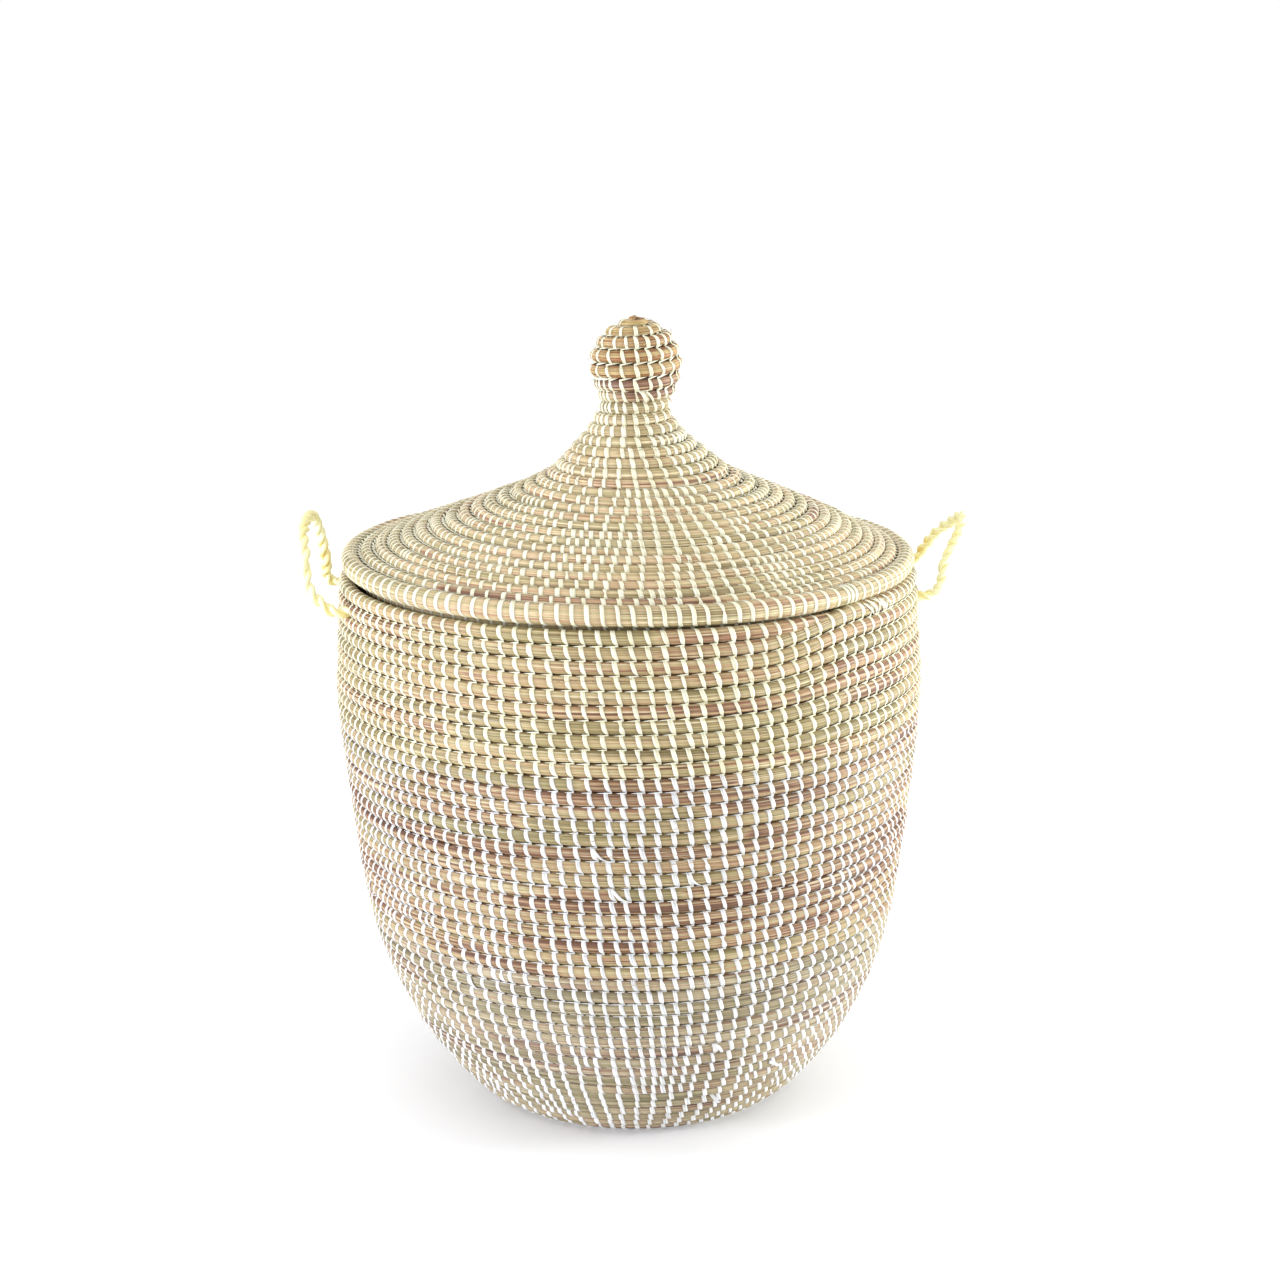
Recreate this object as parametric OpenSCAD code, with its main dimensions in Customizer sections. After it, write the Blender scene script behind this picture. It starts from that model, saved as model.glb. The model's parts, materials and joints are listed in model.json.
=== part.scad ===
// Coiled grass laundry basket with a flared lid, a coiled knob and two twisted rope handles.
// Millimetres, +Z up, +X towards the right handle. Origin on the floor at the basket's axis.
// The real basket is one long bundle of grass wound into a spiral and sewn with plastic strips.
// Here each turn of the spiral is a level ring, and neighbouring rings are fused into bands.

/* [Grass coil] */
// Distance from one turn of the wall to the next
coil_pitch = 10; // [9.5:0.1:10.3]
// Radius of the grass bundle in the wall and the base
coil_r = 5.2; // [5.15:0.05:5.4]
// Radius of the bundle in the lid and the knob
lid_coil_r = 5.15; // [5.05:0.05:5.25]

/* [Basket wall] */
// Radius of the flat base, to the middle of its last turn
base_r = 93; // [88:1:98]
// Height of the middle of the flat base's bundle above the floor
base_z = 4.6; // [4.4:0.1:4.9]
// Number of turns from the edge of the base up to the rim
wall_turns = 43; // [41:1:43]

/* [Lid] */
// Radius of the thick bundle around the lid's edge
edge_r = 7.2; // [7:0.1:7.4]
// Distance from the lid's axis to the middle of the thick edge bundle
edge_ring_r = 201.9; // [201.5:0.1:202.5]
// Distance from one turn of the lid to the next
lid_pitch = 9.9; // [9.8:0.05:10]
// Radius of the thin bundle in the ring that drops inside the rim
lip_r = 4; // [3.5:0.1:4.1]

/* [Plastic strip] */
// Width of the strip that is sewn around the bundles
strip_w = 3.5; // [2.5:0.1:4.5]
// Thickness of that strip
strip_t = 0.45; // [0.3:0.05:0.5]
// Number of stitches in one turn at the rim and at the lid's edge
stitch_count = 136; // [120:2:150]

/* [Handles] */
// Half the distance between the two holes of a handle
handle_half_span = 51; // [46:1:54]
// Height of the right handle's holes above the floor
handle_right_z = 382.5; // [381:0.5:384]
// Height of the left handle's holes above the floor
handle_left_z = 377.5; // [376:0.5:379]
// Radius of each of the two plies that are twisted into the rope
ply_r = 1.85; // [1.6:0.05:1.9]
// Number of full twists in one handle
rope_twists = 8; // [6:1:9]

/* [Hidden] */

$fn = 96;
olive = [0.62, 0.56, 0.38];
straw = [0.72, 0.63, 0.42];
brown = [0.45, 0.34, 0.24];
cream = [0.95, 0.93, 0.78];
yellow = [0.95, 0.88, 0.50];

// Clearance left where one band is cut back from the next
band_gap = 0.02;
// Clearance between a strip and the bundle that it is wound around
strip_gap = 0.05;
// Clearance between the lid's edge and the rim that carries it
lid_gap = 0.5;

// Lean of the wall in degrees above level, by turn counted up from the base
wall_lean = [
    [0, 0], [3, 44], [7, 54], [13, 67.5], [19, 80], [25, 84], [31, 83], [37, 93.5], [43, 94]
];
// Slope of the lid in degrees above level, going inwards, by turn counted from its edge
lid_slope = [
    [0, 21.5], [4, 23], [9, 22], [12, 27], [15, 40], [18, 42.5], [20, 56], [22, 130], [24, 93],
    [26, 48], [28, 11]
];
lid_turns = 27;

// Middle of the bundle in each wall turn, each one a pitch beyond the last
function step_up(from, angle, pitch) = from + pitch * [cos(angle), sin(angle)];
wall_ring = [
    for (i = 0, at = [base_r, base_z];
         i <= wall_turns;
         at = step_up(at, lookup(i + 0.5, wall_lean), coil_pitch), i = i + 1) at
];
rim_at = wall_ring[wall_turns];

// The lid's edge bundle rests above the rim, and the first sloping turn lies against it
edge_reach = edge_r + coil_r + 2 * (strip_gap + strip_t) + lid_gap;
edge_at = [
    edge_ring_r,
    rim_at[1] + sqrt(edge_reach * edge_reach - pow(rim_at[0] - edge_ring_r, 2))
];
first_slope = 21.2;
function step_in(from, angle, pitch) = from + pitch * [-cos(angle), sin(angle)];
lid_ring = [
    for (i = 0, at = step_in(edge_at, first_slope, edge_r + lid_coil_r + 0.1);
         i <= lid_turns;
         at = step_in(at, lookup(i + 0.5, lid_slope), lid_pitch), i = i + 1) at
];
// Two thin turns under the lid that drop inside the rim
lip_touch = lip_r + lid_coil_r + 0.05;
lip_upper_at = lid_ring[0] - lip_touch * [0.05, 1];
lip_lower_at = lip_upper_at + (2 * lip_r + 0.06) * [cos(-66.5), sin(-66.5)];

// Basket nodes are numbered bands of turns
heel_first = 1;
lower_first = 5;
middle_first = 19;
upper_first = 34;
lid_crown_first = 10;
lid_neck_first = 20;
knob_first = 24;
base_rings = 8;
base_button_r = base_r - base_rings * coil_pitch - coil_r - band_gap;
knob_button_r = 10.2;
knob_button_top = 10.6;
knob_root = 4;

// Rope handles. Each half is a list of [outwards, upwards, along], from the wall to the top
rope_r = 2 * ply_r + 0.05;
hole_clearance = 0.25;
wall_face = 205.7;
pivot_out = 9;
pivot_x = wall_face + pivot_out;
end_gap = 1.5;
hole_length = 40;
left_half = [
    [9, 0, 51], [14, 4, 50], [18, 11, 48], [21, 24, 44], [23, 40, 38], [25, 52, 29],
    [26, 60, 15], [26, 62, 0]
];
right_half = [
    [9, 0, 51], [15, 3, 50], [20, 9, 46], [24, 19, 40], [30, 29, 32], [37, 38, 22],
    [42, 45, 11], [44, 47, 0]
];
path_steps = 3;
ply_sides = 8;

// ---------- coils ----------

// Outlines of the turns from first to last
module turns(ring, first, last, radius) {
    for (i = [first:last]) {
        translate(ring[i]) circle(r = radius);
    }
}

// A band of wall turns, cut back from the first turn of the band above
module wall_band(first, last) {
    rotate_extrude() difference() {
        turns(wall_ring, first, last, coil_r);
        translate(wall_ring[last + 1]) circle(r = coil_r + band_gap);
    }
}

// A band of lid turns, cut back from the first turn of the next band
module lid_band(first, last) {
    rotate_extrude() difference() {
        turns(lid_ring, first, last, lid_coil_r);
        translate(lid_ring[last + 1]) circle(r = lid_coil_r + band_gap);
    }
}

// One stitch at each step around a bundle at [radius, height]
module stitches(at, bundle_r) {
    inner_r = bundle_r + strip_gap;
    for (i = [0:stitch_count - 1]) {
        rotate([0, 0, i * 360 / stitch_count])
            translate([at[0], strip_w / 2, at[1]])
            rotate([90, 0, 0])
            linear_extrude(height = strip_w) difference() {
                circle(r = inner_r + strip_t, $fn = 48);
                circle(r = inner_r, $fn = 48);
            }
    }
}

// ---------- basket ----------

// Knot of bare grass that the spiral starts from
module base_button() {
    color(brown) rotate_extrude() intersection() {
        translate([0, base_z]) circle(r = base_button_r);
        square([base_button_r, 2 * base_z]);
    }
}

// Flat spiral of the base, sheared flat where it stands on the floor
module base_coil() {
    color(olive) rotate_extrude() difference() {
        for (i = [0:base_rings]) {
            translate([base_r - i * coil_pitch, base_z]) circle(r = coil_r);
        }
        translate([0, -2 * coil_r]) square([2 * base_r, 2 * coil_r]);
        translate(wall_ring[heel_first]) circle(r = coil_r + band_gap);
    }
}

module heel_coil() {
    color(olive) difference() {
        wall_band(heel_first, lower_first - 1);
        translate([0, 0, -coil_r]) cylinder(r = 2 * base_r, h = coil_r);
    }
}

module lower_wall_coil() {
    color(olive) wall_band(lower_first, middle_first - 1);
}

module middle_wall_coil() {
    color(straw) wall_band(middle_first, upper_first - 1);
}

// Turns sewn in the darker cream strip, with a round hole for each end of each rope
module upper_wall_coil() {
    color(straw) difference() {
        wall_band(upper_first, wall_turns - 1);
        for (along = [-handle_half_span, handle_half_span]) {
            hole(1, along, handle_right_z);
            hole(-1, along, handle_left_z);
        }
    }
}

module hole(side, along, height) {
    translate([side * wall_face, along, height]) rotate([0, 90, 0])
        cylinder(r = rope_r + hole_clearance, h = hole_length, center = true);
}

module rim_coil() {
    color(straw) rotate_extrude() turns(wall_ring, wall_turns, wall_turns, coil_r);
}

module rim_binding() {
    color(cream) stitches(rim_at, coil_r);
}

// ---------- lid ----------

module lid_edge_coil() {
    color(straw) rotate_extrude() translate(edge_at) circle(r = edge_r);
}

module lid_edge_binding() {
    color(cream) stitches(edge_at, edge_r);
}

module lid_brim_coil() {
    color(olive) lid_band(0, lid_crown_first - 1);
}

module lid_crown_coil() {
    color(straw) lid_band(lid_crown_first, lid_neck_first - 1);
}

module lid_neck_coil() {
    color(olive) lid_band(lid_neck_first, knob_first - 1);
}

module knob_coil() {
    color(brown) rotate_extrude() difference() {
        turns(lid_ring, knob_first, lid_turns, lid_coil_r);
        knob_button_outline(band_gap);
    }
}

// Bare twist of grass at the very top, with a round crown and a short root
module knob_button() {
    color(brown) rotate_extrude() knob_button_outline(0);
}

module knob_button_outline(grow) {
    top_z = lid_ring[lid_turns][1];
    intersection() {
        translate([0, top_z - knob_button_r + knob_button_top])
            circle(r = knob_button_r + grow);
        translate([0, top_z - knob_root - grow]) square([2 * knob_button_r, 3 * knob_button_r]);
    }
}

// Ring of two thin turns under the lid, which keeps it from sliding off the rim
module lid_lip_coil() {
    color(olive) rotate_extrude() {
        translate(lip_upper_at) circle(r = lip_r);
        translate(lip_lower_at) circle(r = lip_r);
    }
}

// ---------- handles ----------

// Whole route of a rope: the half list, then the same points mirrored in reverse
function mirrored(half) = concat(
    half,
    [for (i = [len(half) - 2:-1:0]) [half[i][0], half[i][1], -half[i][2]]]
);
function clamp_index(points, i) = points[max(0, min(len(points) - 1, i))];
function curve_point(a, b, c, d, t) =
    0.5 * (2 * b + (c - a) * t + (2 * a - 5 * b + 4 * c - d) * t * t
    + (3 * b - a - 3 * c + d) * t * t * t);
// Smooth curve through the route's points
function smooth(points) = concat(
    [
        for (i = [0:len(points) - 2], k = [0:path_steps - 1])
            curve_point(clamp_index(points, i - 1), points[i], points[i + 1],
                        clamp_index(points, i + 2), k / path_steps)
    ],
    [points[len(points) - 1]]
);
function unit(v) = v / norm(v);
function tangent(path, i) = unit(clamp_index(path, i + 1) - clamp_index(path, i - 1));

// Ring of points around one ply, which winds around the rope's own curve
function ply_ring(path, i, phase, facing) =
    let (
        along = tangent(path, i),
        across = unit(cross(facing, along)),
        over = cross(along, across),
        turn = phase + 360 * rope_twists * i / (len(path) - 1),
        middle = path[i] + (ply_r + 0.03) * (cos(turn) * across + sin(turn) * over)
    )
    [
        for (k = [0:ply_sides - 1])
            middle + ply_r * (cos(k * 360 / ply_sides) * across + sin(k * 360 / ply_sides) * over)
    ];

function ring_index(ring, k) = ring * ply_sides + k % ply_sides;

// One ply of a rope, as a tube of short triangles
module ply(half, phase, facing) {
    path = smooth(mirrored(half));
    count = len(path);
    points = [for (i = [0:count - 1]) each ply_ring(path, i, phase, facing)];
    sides = [
        for (i = [0:count - 2], k = [0:ply_sides - 1]) each [
            [ring_index(i, k), ring_index(i, k + 1), ring_index(i + 1, k)],
            [ring_index(i, k + 1), ring_index(i + 1, k + 1), ring_index(i + 1, k)]
        ]
    ];
    start_cap = [[for (k = [ply_sides - 1:-1:0]) ring_index(0, k)]];
    end_cap = [[for (k = [0:ply_sides - 1]) ring_index(count - 1, k)]];
    polyhedron(points = points, faces = concat(start_cap, sides, end_cap), convexity = 8);
}

// Turns a route's [outwards, upwards, along] into the basket's axes at the right-hand side
module at_handle(side, height) {
    rotate([0, 0, side > 0 ? 0 : 180])
        translate([wall_face, 0, height])
        multmatrix([[1, 0, 0, 0], [0, 0, -1, 0], [0, 1, 0, 0], [0, 0, 0, 1]])
        children();
}

// End of a rope: a stub through the wall and the stop knot behind it
module rope_end(side, along, height) {
    outer_x = pivot_x - rope_r - end_gap;
    knot_x = 190.8;
    knot_ring_r = 2.6;
    knot_tube_r = 3.2;
    rotate([0, 0, side > 0 ? 0 : 180])
        translate([0, side * along, height])
        rotate([0, 90, 0]) {
            translate([0, 0, knot_x - 2 * knot_tube_r])
                cylinder(r = rope_r, h = outer_x - knot_x + 2 * knot_tube_r);
            translate([0, 0, knot_x - knot_tube_r])
                rotate_extrude() intersection() {
                    translate([knot_ring_r, 0]) circle(r = knot_tube_r);
                    translate([0, -knot_tube_r]) square(2 * knot_tube_r + knot_ring_r);
                }
        }
}

module handle_left_ply_a() {
    color(yellow) at_handle(-1, handle_left_z) ply(left_half, 0, [1, -0.4, 0]);
}

module handle_left_ply_b() {
    color(yellow) at_handle(-1, handle_left_z) ply(left_half, 180, [1, -0.4, 0]);
}

module handle_left_front_end() {
    color(yellow) rope_end(-1, -handle_half_span, handle_left_z);
}

module handle_left_rear_end() {
    color(yellow) rope_end(-1, handle_half_span, handle_left_z);
}

module handle_right_ply_a() {
    color(yellow) at_handle(1, handle_right_z) ply(right_half, 0, [1, -1, 0]);
}

module handle_right_ply_b() {
    color(yellow) at_handle(1, handle_right_z) ply(right_half, 180, [1, -1, 0]);
}

module handle_right_front_end() {
    color(yellow) rope_end(1, -handle_half_span, handle_right_z);
}

module handle_right_rear_end() {
    color(yellow) rope_end(1, handle_half_span, handle_right_z);
}

base_button();
base_coil();
heel_coil();
lower_wall_coil();
middle_wall_coil();
upper_wall_coil();
rim_coil();
rim_binding();
lid_edge_coil();
lid_edge_binding();
lid_brim_coil();
lid_crown_coil();
lid_neck_coil();
knob_coil();
knob_button();
lid_lip_coil();
handle_left_ply_a();
handle_left_ply_b();
handle_left_front_end();
handle_left_rear_end();
handle_right_ply_a();
handle_right_ply_b();
handle_right_front_end();
handle_right_rear_end();
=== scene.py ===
import json
import math

import bpy
import numpy as np
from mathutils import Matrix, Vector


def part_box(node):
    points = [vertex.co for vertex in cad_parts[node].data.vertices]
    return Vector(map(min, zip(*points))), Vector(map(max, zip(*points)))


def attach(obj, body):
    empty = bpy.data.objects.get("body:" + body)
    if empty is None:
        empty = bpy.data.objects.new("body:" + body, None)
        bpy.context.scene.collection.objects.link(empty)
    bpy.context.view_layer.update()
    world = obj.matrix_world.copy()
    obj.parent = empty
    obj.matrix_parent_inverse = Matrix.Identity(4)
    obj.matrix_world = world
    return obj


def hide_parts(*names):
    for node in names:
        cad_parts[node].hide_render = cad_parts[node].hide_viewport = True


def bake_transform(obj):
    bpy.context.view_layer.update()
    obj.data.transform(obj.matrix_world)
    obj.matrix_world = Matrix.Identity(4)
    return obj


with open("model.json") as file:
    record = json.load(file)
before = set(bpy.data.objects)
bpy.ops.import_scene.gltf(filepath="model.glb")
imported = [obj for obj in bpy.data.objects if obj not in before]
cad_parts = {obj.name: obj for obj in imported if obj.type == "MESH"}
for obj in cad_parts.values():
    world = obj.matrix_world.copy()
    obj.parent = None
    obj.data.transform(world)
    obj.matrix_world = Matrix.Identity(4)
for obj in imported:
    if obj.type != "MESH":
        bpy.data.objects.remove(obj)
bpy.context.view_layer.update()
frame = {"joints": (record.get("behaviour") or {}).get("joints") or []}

# A coiled grass laundry basket with a loose flared lid and two twisted rope handles.
# Metres, +Z up. Each bundle of grass is a "course": a long spiral with stitches along it.
MM = 0.001
TURN = 2 * math.pi

# ---------- camera ----------

VIEW_AZIMUTH = math.radians(-96)
VIEW_DISTANCE = 1935.3 * MM
VIEW_HEIGHT = 818.3 * MM
VIEW_DOWN = math.radians(13.815)
VIEW_ASIDE = math.radians(0.27)
LENS_MM = 75.86


def make_camera():
    data = bpy.data.cameras.new("camera")
    data.lens = LENS_MM
    data.sensor_width = 36
    camera = bpy.data.objects.new("camera", data)
    camera.location = (
        VIEW_DISTANCE * math.cos(VIEW_AZIMUTH),
        VIEW_DISTANCE * math.sin(VIEW_AZIMUTH),
        VIEW_HEIGHT,
    )
    heading = VIEW_AZIMUTH + math.pi / 2 - VIEW_ASIDE
    camera.rotation_euler = (math.pi / 2 - VIEW_DOWN, 0, heading)
    bpy.context.scene.collection.objects.link(camera)
    bpy.context.scene.camera = camera


make_camera()

# ---------- sizes, from the CAD frame ----------

PITCH = 10 * MM
LID_PITCH = 9.9 * MM
COIL_OUT = 5.35 * MM
COIL_UP = 4.95 * MM
LID_OUT = 5.3 * MM
LID_UP = 4.9 * MM
CAD_COIL_R = 5.2 * MM
CAD_LID_COIL_R = 5.15 * MM

# Lean of the wall in degrees above level, by turn counted up from the base
WALL_LEAN = [
    (0, 0), (3, 44), (7, 54), (13, 67.5), (19, 80), (25, 84), (31, 83), (37, 93.5), (43, 94),
]
# Slope of the lid in degrees above level, going inwards, by turn counted from its edge
LID_SLOPE = [
    (0, 21.5), (4, 23), (9, 22), (12, 27), (15, 40), (18, 42.5), (20, 56), (22, 130), (24, 93),
    (26, 48), (28, 11),
]
WALL_TURNS = 43
BASE_TURNS = 9
LID_TURNS = 27
# The turn from which the wall is sewn in cream and not in white
CREAM_FROM = 33.5


def node_top_ring(node, bundle_r):
    """Radius and height of the middle of the outermost bundle in a CAD node."""
    _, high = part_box(node)
    return np.array([high.x - bundle_r, high.z - bundle_r])


def steps(table, count, pitch, inward=False):
    """Ring centres [radius, height] from the origin, one pitch apart along the leaning wall."""
    rings = [np.zeros(2)]
    turns, degrees = zip(*table)
    for i in range(count):
        angle = math.radians(np.interp(i + 0.5, turns, degrees))
        across = -math.cos(angle) if inward else math.cos(angle)
        rings.append(rings[-1] + pitch * np.array([across, math.sin(angle)]))
    return np.array(rings)


def wall_rings():
    wall = steps(WALL_LEAN, WALL_TURNS, PITCH)
    wall += node_top_ring("rim_coil", CAD_COIL_R) - wall[-1]
    flat = [wall[0] - [PITCH * i, 0] for i in range(BASE_TURNS, 0, -1)]
    return np.array([*flat, *wall])


edge_low, edge_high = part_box("lid_edge_coil")
EDGE_R = (edge_high.z - edge_low.z) / 2
EDGE_AT = np.array([edge_high.x - EDGE_R, edge_low.z + EDGE_R])
FIRST_SLOPE = math.radians(21.2)
FIRST_STEP = np.array([-math.cos(FIRST_SLOPE), math.sin(FIRST_SLOPE)])
# Radius and height of the last two turns, which close the knob
KNOB_CURL = np.array([[6.2, 575.4], [1.3, 579.6]]) * MM
LID_RINGS = np.concatenate(
    [
        EDGE_AT
        + (EDGE_R + CAD_LID_COIL_R + 0.1 * MM) * FIRST_STEP
        + steps(LID_SLOPE, LID_TURNS, LID_PITCH, inward=True),
        KNOB_CURL,
    ]
)
BODY_RINGS = wall_rings()
LIP_R = 4 * MM
lip_low, lip_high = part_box("lid_lip_coil")
LIP_LOWER = np.array([lip_high.x - LIP_R, lip_low.z + LIP_R])
LIP_UPPER = LID_RINGS[0] - (LIP_R + CAD_LID_COIL_R) * np.array([0.05, 1])

# ---------- smooth random wander ----------


def eased(t):
    return t * t * (3 - 2 * t)


def wander(s, wavelength, rng, columns=None):
    """Smooth random values along s, about -1 to 1, new every wavelength."""
    count = int((s.max() - s.min()) / wavelength) + 3
    knots = rng.normal(0, 0.5, count if columns is None else (count, columns))
    place = (s - s.min()) / wavelength
    i = place.astype(int)
    t = eased(place - i)
    if columns is not None:
        t = t[:, None]
    return knots[i] * (1 - t) + knots[i + 1] * t


def patches(s, share_brown, rng):
    """Tone of the grass along s: long runs of olive and straw, and some of russet and brown."""
    at, tones = [0.0], [0.3]
    while at[-1] < s.max():
        at.append(at[-1] + rng.uniform(0.035, 0.24))
        brown = rng.random() < np.interp(at[-1], s, share_brown)
        tones.append(rng.uniform(0.58, 0.92) if brown else rng.uniform(0.08, 0.55))
    at, tones = np.array(at), np.array(tones)
    i = np.clip(np.searchsorted(at, s, side="right") - 1, 0, len(at) - 2)
    fade = eased(np.clip((s - at[i]) / (18 * MM), 0, 1))
    return tones[np.maximum(i - 1, 0)] * (1 - fade) + tones[i] * fade


# ---------- courses ----------

SIDES = 20
RING_STEP = 2.1 * MM
RING_PARTS = 24


def rounded(points, per):
    """A smooth curve through the points, with per steps from each to the next."""
    ends = [2 * points[0] - points[1], *points, 2 * points[-1] - points[-2]]
    t = np.linspace(0, 1, per, endpoint=False)[:, None]
    found = []
    for a, b, c, d in zip(ends, ends[1:], ends[2:], ends[3:]):
        square, cube = 2 * a - 5 * b + 4 * c - d, 3 * b - a - 3 * c + d
        found.append(0.5 * (2 * b + (c - a) * t + square * t**2 + cube * t**3))
    return np.concatenate([*found, points[-1:]])


# How much a bundle varies, and over what length
THICK_SLOWLY = (0.035, 45 * MM)
THICK_QUICKLY = (0.02, 14 * MM)
SWAY_OUT = (0.35 * MM, 90 * MM)
SWAY_UP = (0.3 * MM, 75 * MM)
RIDGE_RUN = 34 * MM


def vary(s, much, rng):
    size, run = much
    return size * wander(s, run, rng)


def make_course(rings, turn_of, first, last, out, up, seed, sewn=1, first_turn=0, browns=None):
    """A bundle that follows the rings from angle first to last, out and up thick from its middle.

    turn_of gives the turn at an angle, and first_turn is the turn of the first ring. sewn is 1
    where each new turn lies above the last one, and -1 where it lies below. browns gives the share
    of brown stems at a turn. In what is returned, every list runs along the bundle: up_r and up_z
    point to the next turn, aside is a shift to the right, and spread widens the stitch spacing.
    """
    rng = np.random.default_rng(seed)
    curve = rounded(rings, RING_PARTS)
    turns = np.arange(len(curve)) / RING_PARTS
    tangent = np.gradient(curve, axis=0)
    tangent /= np.linalg.norm(tangent, axis=1)[:, None]
    dense = np.linspace(first, last, int((last - first) / TURN * 240) + 2)

    def on_curve(values, turn):
        return np.interp(turn - first_turn, turns, values)

    radius = on_curve(curve[:, 0], turn_of(dense))
    run = np.concatenate([[0], np.cumsum(np.diff(dense) * (radius[1:] + radius[:-1]) / 2)])
    s = np.linspace(0, run[-1], int(run[-1] / RING_STEP) + 2)
    angle = np.interp(s, run, dense)
    turn = turn_of(angle)
    thick = 1 + vary(s, THICK_SLOWLY, rng) + vary(s, THICK_QUICKLY, rng)
    sway_out = vary(s, SWAY_OUT, rng)
    sway_up = vary(s, SWAY_UP, rng)
    course = {
        "angle": angle,
        "s": s,
        "turn": turn,
        "up_r": on_curve(tangent[:, 0], turn),
        "up_z": on_curve(tangent[:, 1], turn),
        "out": out * thick,
        "up": up * (1 + 0.4 * (thick - 1)),
        "aside": 0 * s,
        "spread": 0 * s + 1,
        "sewn": sewn,
        "seed": seed,
        "rng": rng,
    }
    course["r"] = on_curve(curve[:, 0], turn) + sway_out * course["up_z"] + sway_up * course["up_r"]
    course["z"] = on_curve(curve[:, 1], turn) - sway_out * course["up_r"] + sway_up * course["up_z"]
    share = np.full(len(s), 0.3) if browns is None else browns(turn)
    course["tone"] = patches(s, share, rng)
    course["ridges"] = wander(s, RIDGE_RUN, rng, SIDES)
    return course


def taper(course, length, thinnest, at_end, lean=-1):
    """Thins a bundle towards one end, and lays the thin part against the turn beside it.

    With lean at 1 the thin part keeps the height of the bundle's free side instead."""
    s = course["s"]
    away = s[-1] - s if at_end else s
    size = thinnest + (1 - thinnest) * eased(np.clip(away / length, 0, 1))
    shift = lean * course["sewn"] * (1 - size) * course["up"]
    course["r"] = course["r"] + shift * course["up_r"]
    course["z"] = course["z"] + shift * course["up_z"]
    course["out"] = course["out"] * size
    course["up"] = course["up"] * size


def along(course, key, angle):
    return np.interp(angle, course["angle"], course[key])


def place(course, angle, x, y):
    """Points at x outwards and y up the wall from the middle of the bundle at these angles."""
    up_r, up_z = along(course, "up_r", angle), along(course, "up_z", angle)
    scale = np.hypot(up_r, up_z)
    up_r, up_z = up_r / scale, up_z / scale
    radius = along(course, "r", angle) + x * up_z + y * up_r
    height = along(course, "z", angle) - x * up_r + y * up_z
    azimuth = angle + VIEW_AZIMUTH
    aside = along(course, "aside", angle)
    right = VIEW_AZIMUTH + math.pi / 2
    return np.stack(
        [
            radius * np.cos(azimuth) + aside * math.cos(right),
            radius * np.sin(azimuth) + aside * math.sin(right),
            height,
        ],
        -1,
    )


def direction(course, angle, x, y):
    """The same as place, for a direction: x outwards and y up the wall."""
    up_r, up_z = along(course, "up_r", angle), along(course, "up_z", angle)
    scale = np.hypot(up_r, up_z)
    across = (x * up_z + y * up_r) / scale
    azimuth = angle + VIEW_AZIMUTH
    rise = (y * up_z - x * up_r) / scale
    return np.stack([across * np.cos(azimuth), across * np.sin(azimuth), rise], -1)


# ---------- stitches: where they go ----------

SPACING = 9.8 * MM
TIGHT_SPACING = 4.9 * MM
SPACING_GROWTH = 0.086
# How far a strip moves along the bundle on its outside, and on its way back inside
LEAN = 3.1 * MM
BACK_LEAN = 6.4 * MM
# The angle around the bundle that each of the two takes, and the powers that shape them
LEAN_REACH = math.radians(155)
LEAN_POWER = 1.8
BACK_POWER = 1.2
# The largest gap before it gets one more stitch, in spacings
ROOMY = 1.3
# The largest gap that still follows the row beside it, and the smallest gap, in spacings
FOLLOWED = 2.3
SMALLEST = 0.35
# How much each stitch is evened out between its neighbours, and how uneven it stays
EVENED = 0.6
UNEVEN = 0.045
# How much sooner than the stitch beside it each stitch comes, in radians
BODY_DRIFT = 0.0018
LID_DRIFT = 0.004


def spacing_at(radius):
    return np.minimum(SPACING, TIGHT_SPACING + SPACING_GROWTH * radius)


def stitch_angles(course, first, last, drift):
    """Angle of each stitch. Each is sewn beside the stitch one turn before it, less the drift.

    Where the basket widens and a gap grows too roomy, the gap gets one more stitch."""
    rng = np.random.default_rng(course["seed"] + 500)
    way = course["sewn"]
    marks = [first]
    behind = 0
    while (last - marks[-1]) * way > 0:
        here = marks[-1]
        radius = max(along(course, "r", here), 6 * MM)
        step = spacing_at(radius) * along(course, "spread", here) / radius
        while behind < len(marks) - 1 and (marks[behind] - here) * way + TURN < 0.5 * step:
            behind += 1
        gap = (marks[behind] - here) * way + TURN
        if 0 < behind < len(marks) - 1 and gap < FOLLOWED * step:
            middle = (marks[behind - 1] + marks[behind + 1]) / 2
            gap += (middle - marks[behind]) * way * EVENED - drift
            if gap > ROOMY * step:
                gap = gap / 2
        else:
            gap = step
        marks.append(here + way * max(gap + rng.normal(0, UNEVEN) * step, SMALLEST * step))
    return np.sort(np.array(marks))


def strip_offset(alpha, radius):
    """How far along the bundle a strip has moved at angle alpha around it, from its top.

    alpha is 0 at the outside and a quarter turn where the new turn's free side is."""
    share = spacing_at(radius) / SPACING
    alpha = np.mod(alpha + math.pi / 2, TURN) - math.pi / 2
    quarter = math.pi / 2
    outside = np.clip((quarter - alpha) / LEAN_REACH, 0, 1.15)
    inside = np.clip((alpha - quarter) / LEAN_REACH, 0, 1.15)
    lean, back = LEAN * outside**LEAN_POWER, -BACK_LEAN * inside**BACK_POWER
    return share * np.where(alpha <= quarter, lean, back)


# ---------- meshes ----------


def grid_quads(rows, columns):
    """Faces of a tube of rows rings with columns points each."""
    i, j = np.meshgrid(np.arange(rows - 1), np.arange(columns), indexing="ij")
    k = (j + 1) % columns
    return np.stack(
        [i * columns + j, i * columns + k, (i + 1) * columns + k, (i + 1) * columns + j], -1
    ).reshape(-1, 4)


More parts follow.
